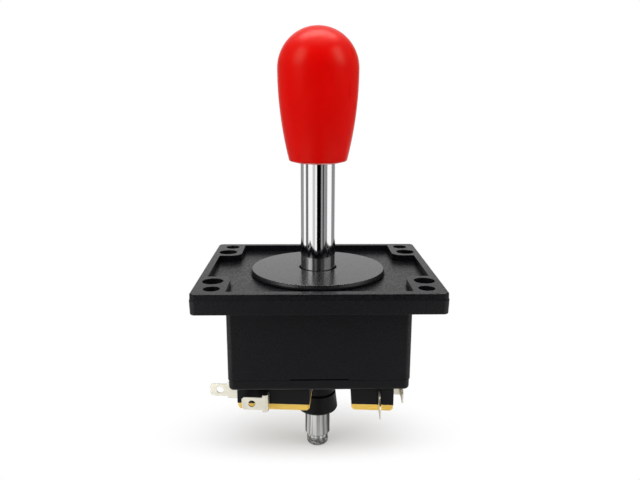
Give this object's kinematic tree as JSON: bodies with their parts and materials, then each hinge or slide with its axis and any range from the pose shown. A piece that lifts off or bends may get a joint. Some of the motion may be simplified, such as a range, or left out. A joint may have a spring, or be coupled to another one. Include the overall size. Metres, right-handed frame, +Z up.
{
  "type": "arcade joystick lever",
  "caption": "Panel-mounted joystick with a bat handle on a plated lever, a square black housing under its mounting plate, and lever microswitches around an actuator below.",
  "frame": {"origin": "on the lever's axis, in the plane of the mounting plate's rim", "axes": "+Z up the lever to the handle, +X to the right, +Y away from the player"},
  "size_m": [0.0956, 0.0882, 0.1809],
  "materials": {
    "housing_black": "fine grained black moulding",
    "base_black": "fine grained black moulding",
    "bat_red": "satin gloss red",
    "shaft_chrome": "bright plated steel",
    "nylon_white": "natural nylon",
    "spring_steel": "drawn wire",
    "ring_steel": "stamped steel",
    "actuator_black": "black nylon",
    "washer_black": "satin black",
    "case_black": "black moulding",
    "cover_yellow": "satin yellow",
    "tab_steel": "tinned strip",
    "leaf_steel": "spring strip",
    "plunger_white": "moulded",
    "blade_brass": "copper alloy strip"
  },
  "bodies": {
    "housing": {"upper_housing": "housing_black", "base_plate": "base_black", "front_switch_case": "case_black", "front_switch_cover": "cover_yellow", "front_end_tab": "tab_steel", "front_side_tab": "tab_steel", "front_snap_blade": "blade_brass", "right_switch_case": "case_black", "right_switch_cover": "cover_yellow", "right_end_tab": "tab_steel", "right_side_tab": "tab_steel", "right_snap_blade": "blade_brass", "back_switch_case": "case_black", "back_switch_cover": "cover_yellow", "back_end_tab": "tab_steel", "back_side_tab": "tab_steel", "back_snap_blade": "blade_brass", "left_switch_case": "case_black", "left_switch_cover": "cover_yellow", "left_end_tab": "tab_steel", "left_side_tab": "tab_steel", "left_snap_blade": "blade_brass"},
    "spring": {"centring_spring": "spring_steel"},
    "lever": {"bat_handle": "bat_red", "lever_shaft": "shaft_chrome", "pivot_ball": "nylon_white", "pivot_e_ring": "ring_steel", "actuator": "actuator_black", "actuator_e_ring": "ring_steel"},
    "slip_ring": {"slip_ring": "washer_black"},
    "dust_washer": {"dust_washer": "washer_black"},
    "front_leaf": {"front_switch_leaf": "leaf_steel"},
    "front_plunger": {"front_switch_plunger": "plunger_white"},
    "right_leaf": {"right_switch_leaf": "leaf_steel"},
    "right_plunger": {"right_switch_plunger": "plunger_white"},
    "back_leaf": {"back_switch_leaf": "leaf_steel"},
    "back_plunger": {"back_switch_plunger": "plunger_white"},
    "left_leaf": {"left_switch_leaf": "leaf_steel"},
    "left_plunger": {"left_switch_plunger": "plunger_white"}
  },
  "joints": [
    {"name": "tilt_x", "type": "hinge", "parent": "housing", "child": "spring", "pos_m": [0, 0, -0.018], "axis": [1, 0, 0], "range_deg": [-8, 8], "stiffness_Nm_per_rad": 3, "deforming": ["centring_spring"]},
    {"name": "tilt_y", "type": "hinge", "parent": "spring", "child": "lever", "pos_m": [0, 0, -0.018], "axis": [0, 1, 0], "range_deg": [-8, 8], "stiffness_Nm_per_rad": 3, "deforming": ["centring_spring"]},
    {"name": "slide_y", "type": "slide", "parent": "housing", "child": "slip_ring", "axis": [0, 1, 0], "range_m": [-0.0024, 0.0024]},
    {"name": "slide_x", "type": "slide", "parent": "slip_ring", "child": "dust_washer", "axis": [1, 0, 0], "range_m": [-0.0024, 0.0024]},
    {"name": "front_leaf_turn", "type": "hinge", "parent": "housing", "child": "front_leaf", "pos_m": [-0.01941, -0.01084, -0.04478], "axis": [0, 0, 1], "range_deg": [-9.5, 9.5]},
    {"name": "front_plunger_press", "type": "slide", "parent": "housing", "child": "front_plunger", "axis": [0.0785, 0.9969, 0], "range_m": [-0.0012, 0.0012], "deforming": ["front_snap_blade"]},
    {"name": "right_leaf_turn", "type": "hinge", "parent": "housing", "child": "right_leaf", "pos_m": [0.01084, -0.01941, -0.04478], "axis": [0, 0, 1], "range_deg": [-9.5, 9.5]},
    {"name": "right_plunger_press", "type": "slide", "parent": "housing", "child": "right_plunger", "axis": [-0.9969, 0.0785, 0], "range_m": [-0.0012, 0.0012], "deforming": ["right_snap_blade"]},
    {"name": "back_leaf_turn", "type": "hinge", "parent": "housing", "child": "back_leaf", "pos_m": [0.01941, 0.01084, -0.04478], "axis": [0, 0, 1], "range_deg": [-9.5, 9.5]},
    {"name": "back_plunger_press", "type": "slide", "parent": "housing", "child": "back_plunger", "axis": [-0.0785, -0.9969, 0], "range_m": [-0.0012, 0.0012], "deforming": ["back_snap_blade"]},
    {"name": "left_leaf_turn", "type": "hinge", "parent": "housing", "child": "left_leaf", "pos_m": [-0.01084, 0.01941, -0.04478], "axis": [0, 0, 1], "range_deg": [-9.5, 9.5]},
    {"name": "left_plunger_press", "type": "slide", "parent": "housing", "child": "left_plunger", "axis": [0.9969, -0.0785, 0], "range_m": [-0.0012, 0.0012], "deforming": ["left_snap_blade"]}
  ],
  "couplings": [
    {"joint": "slide_y", "follows": "tilt_x", "m_per_rad": -0.0164},
    {"joint": "slide_x", "follows": "tilt_y", "m_per_rad": 0.0164},
    {"joint": "front_leaf_turn", "follows": "tilt_x", "ratio": 1.15},
    {"joint": "front_plunger_press", "follows": "tilt_x", "m_per_rad": 0.0081},
    {"joint": "right_leaf_turn", "follows": "tilt_y", "ratio": 1.15},
    {"joint": "right_plunger_press", "follows": "tilt_y", "m_per_rad": 0.0081},
    {"joint": "back_leaf_turn", "follows": "tilt_x", "ratio": -1.15},
    {"joint": "back_plunger_press", "follows": "tilt_x", "m_per_rad": -0.0081},
    {"joint": "left_leaf_turn", "follows": "tilt_y", "ratio": -1.15},
    {"joint": "left_plunger_press", "follows": "tilt_y", "m_per_rad": -0.0081}
  ]
}
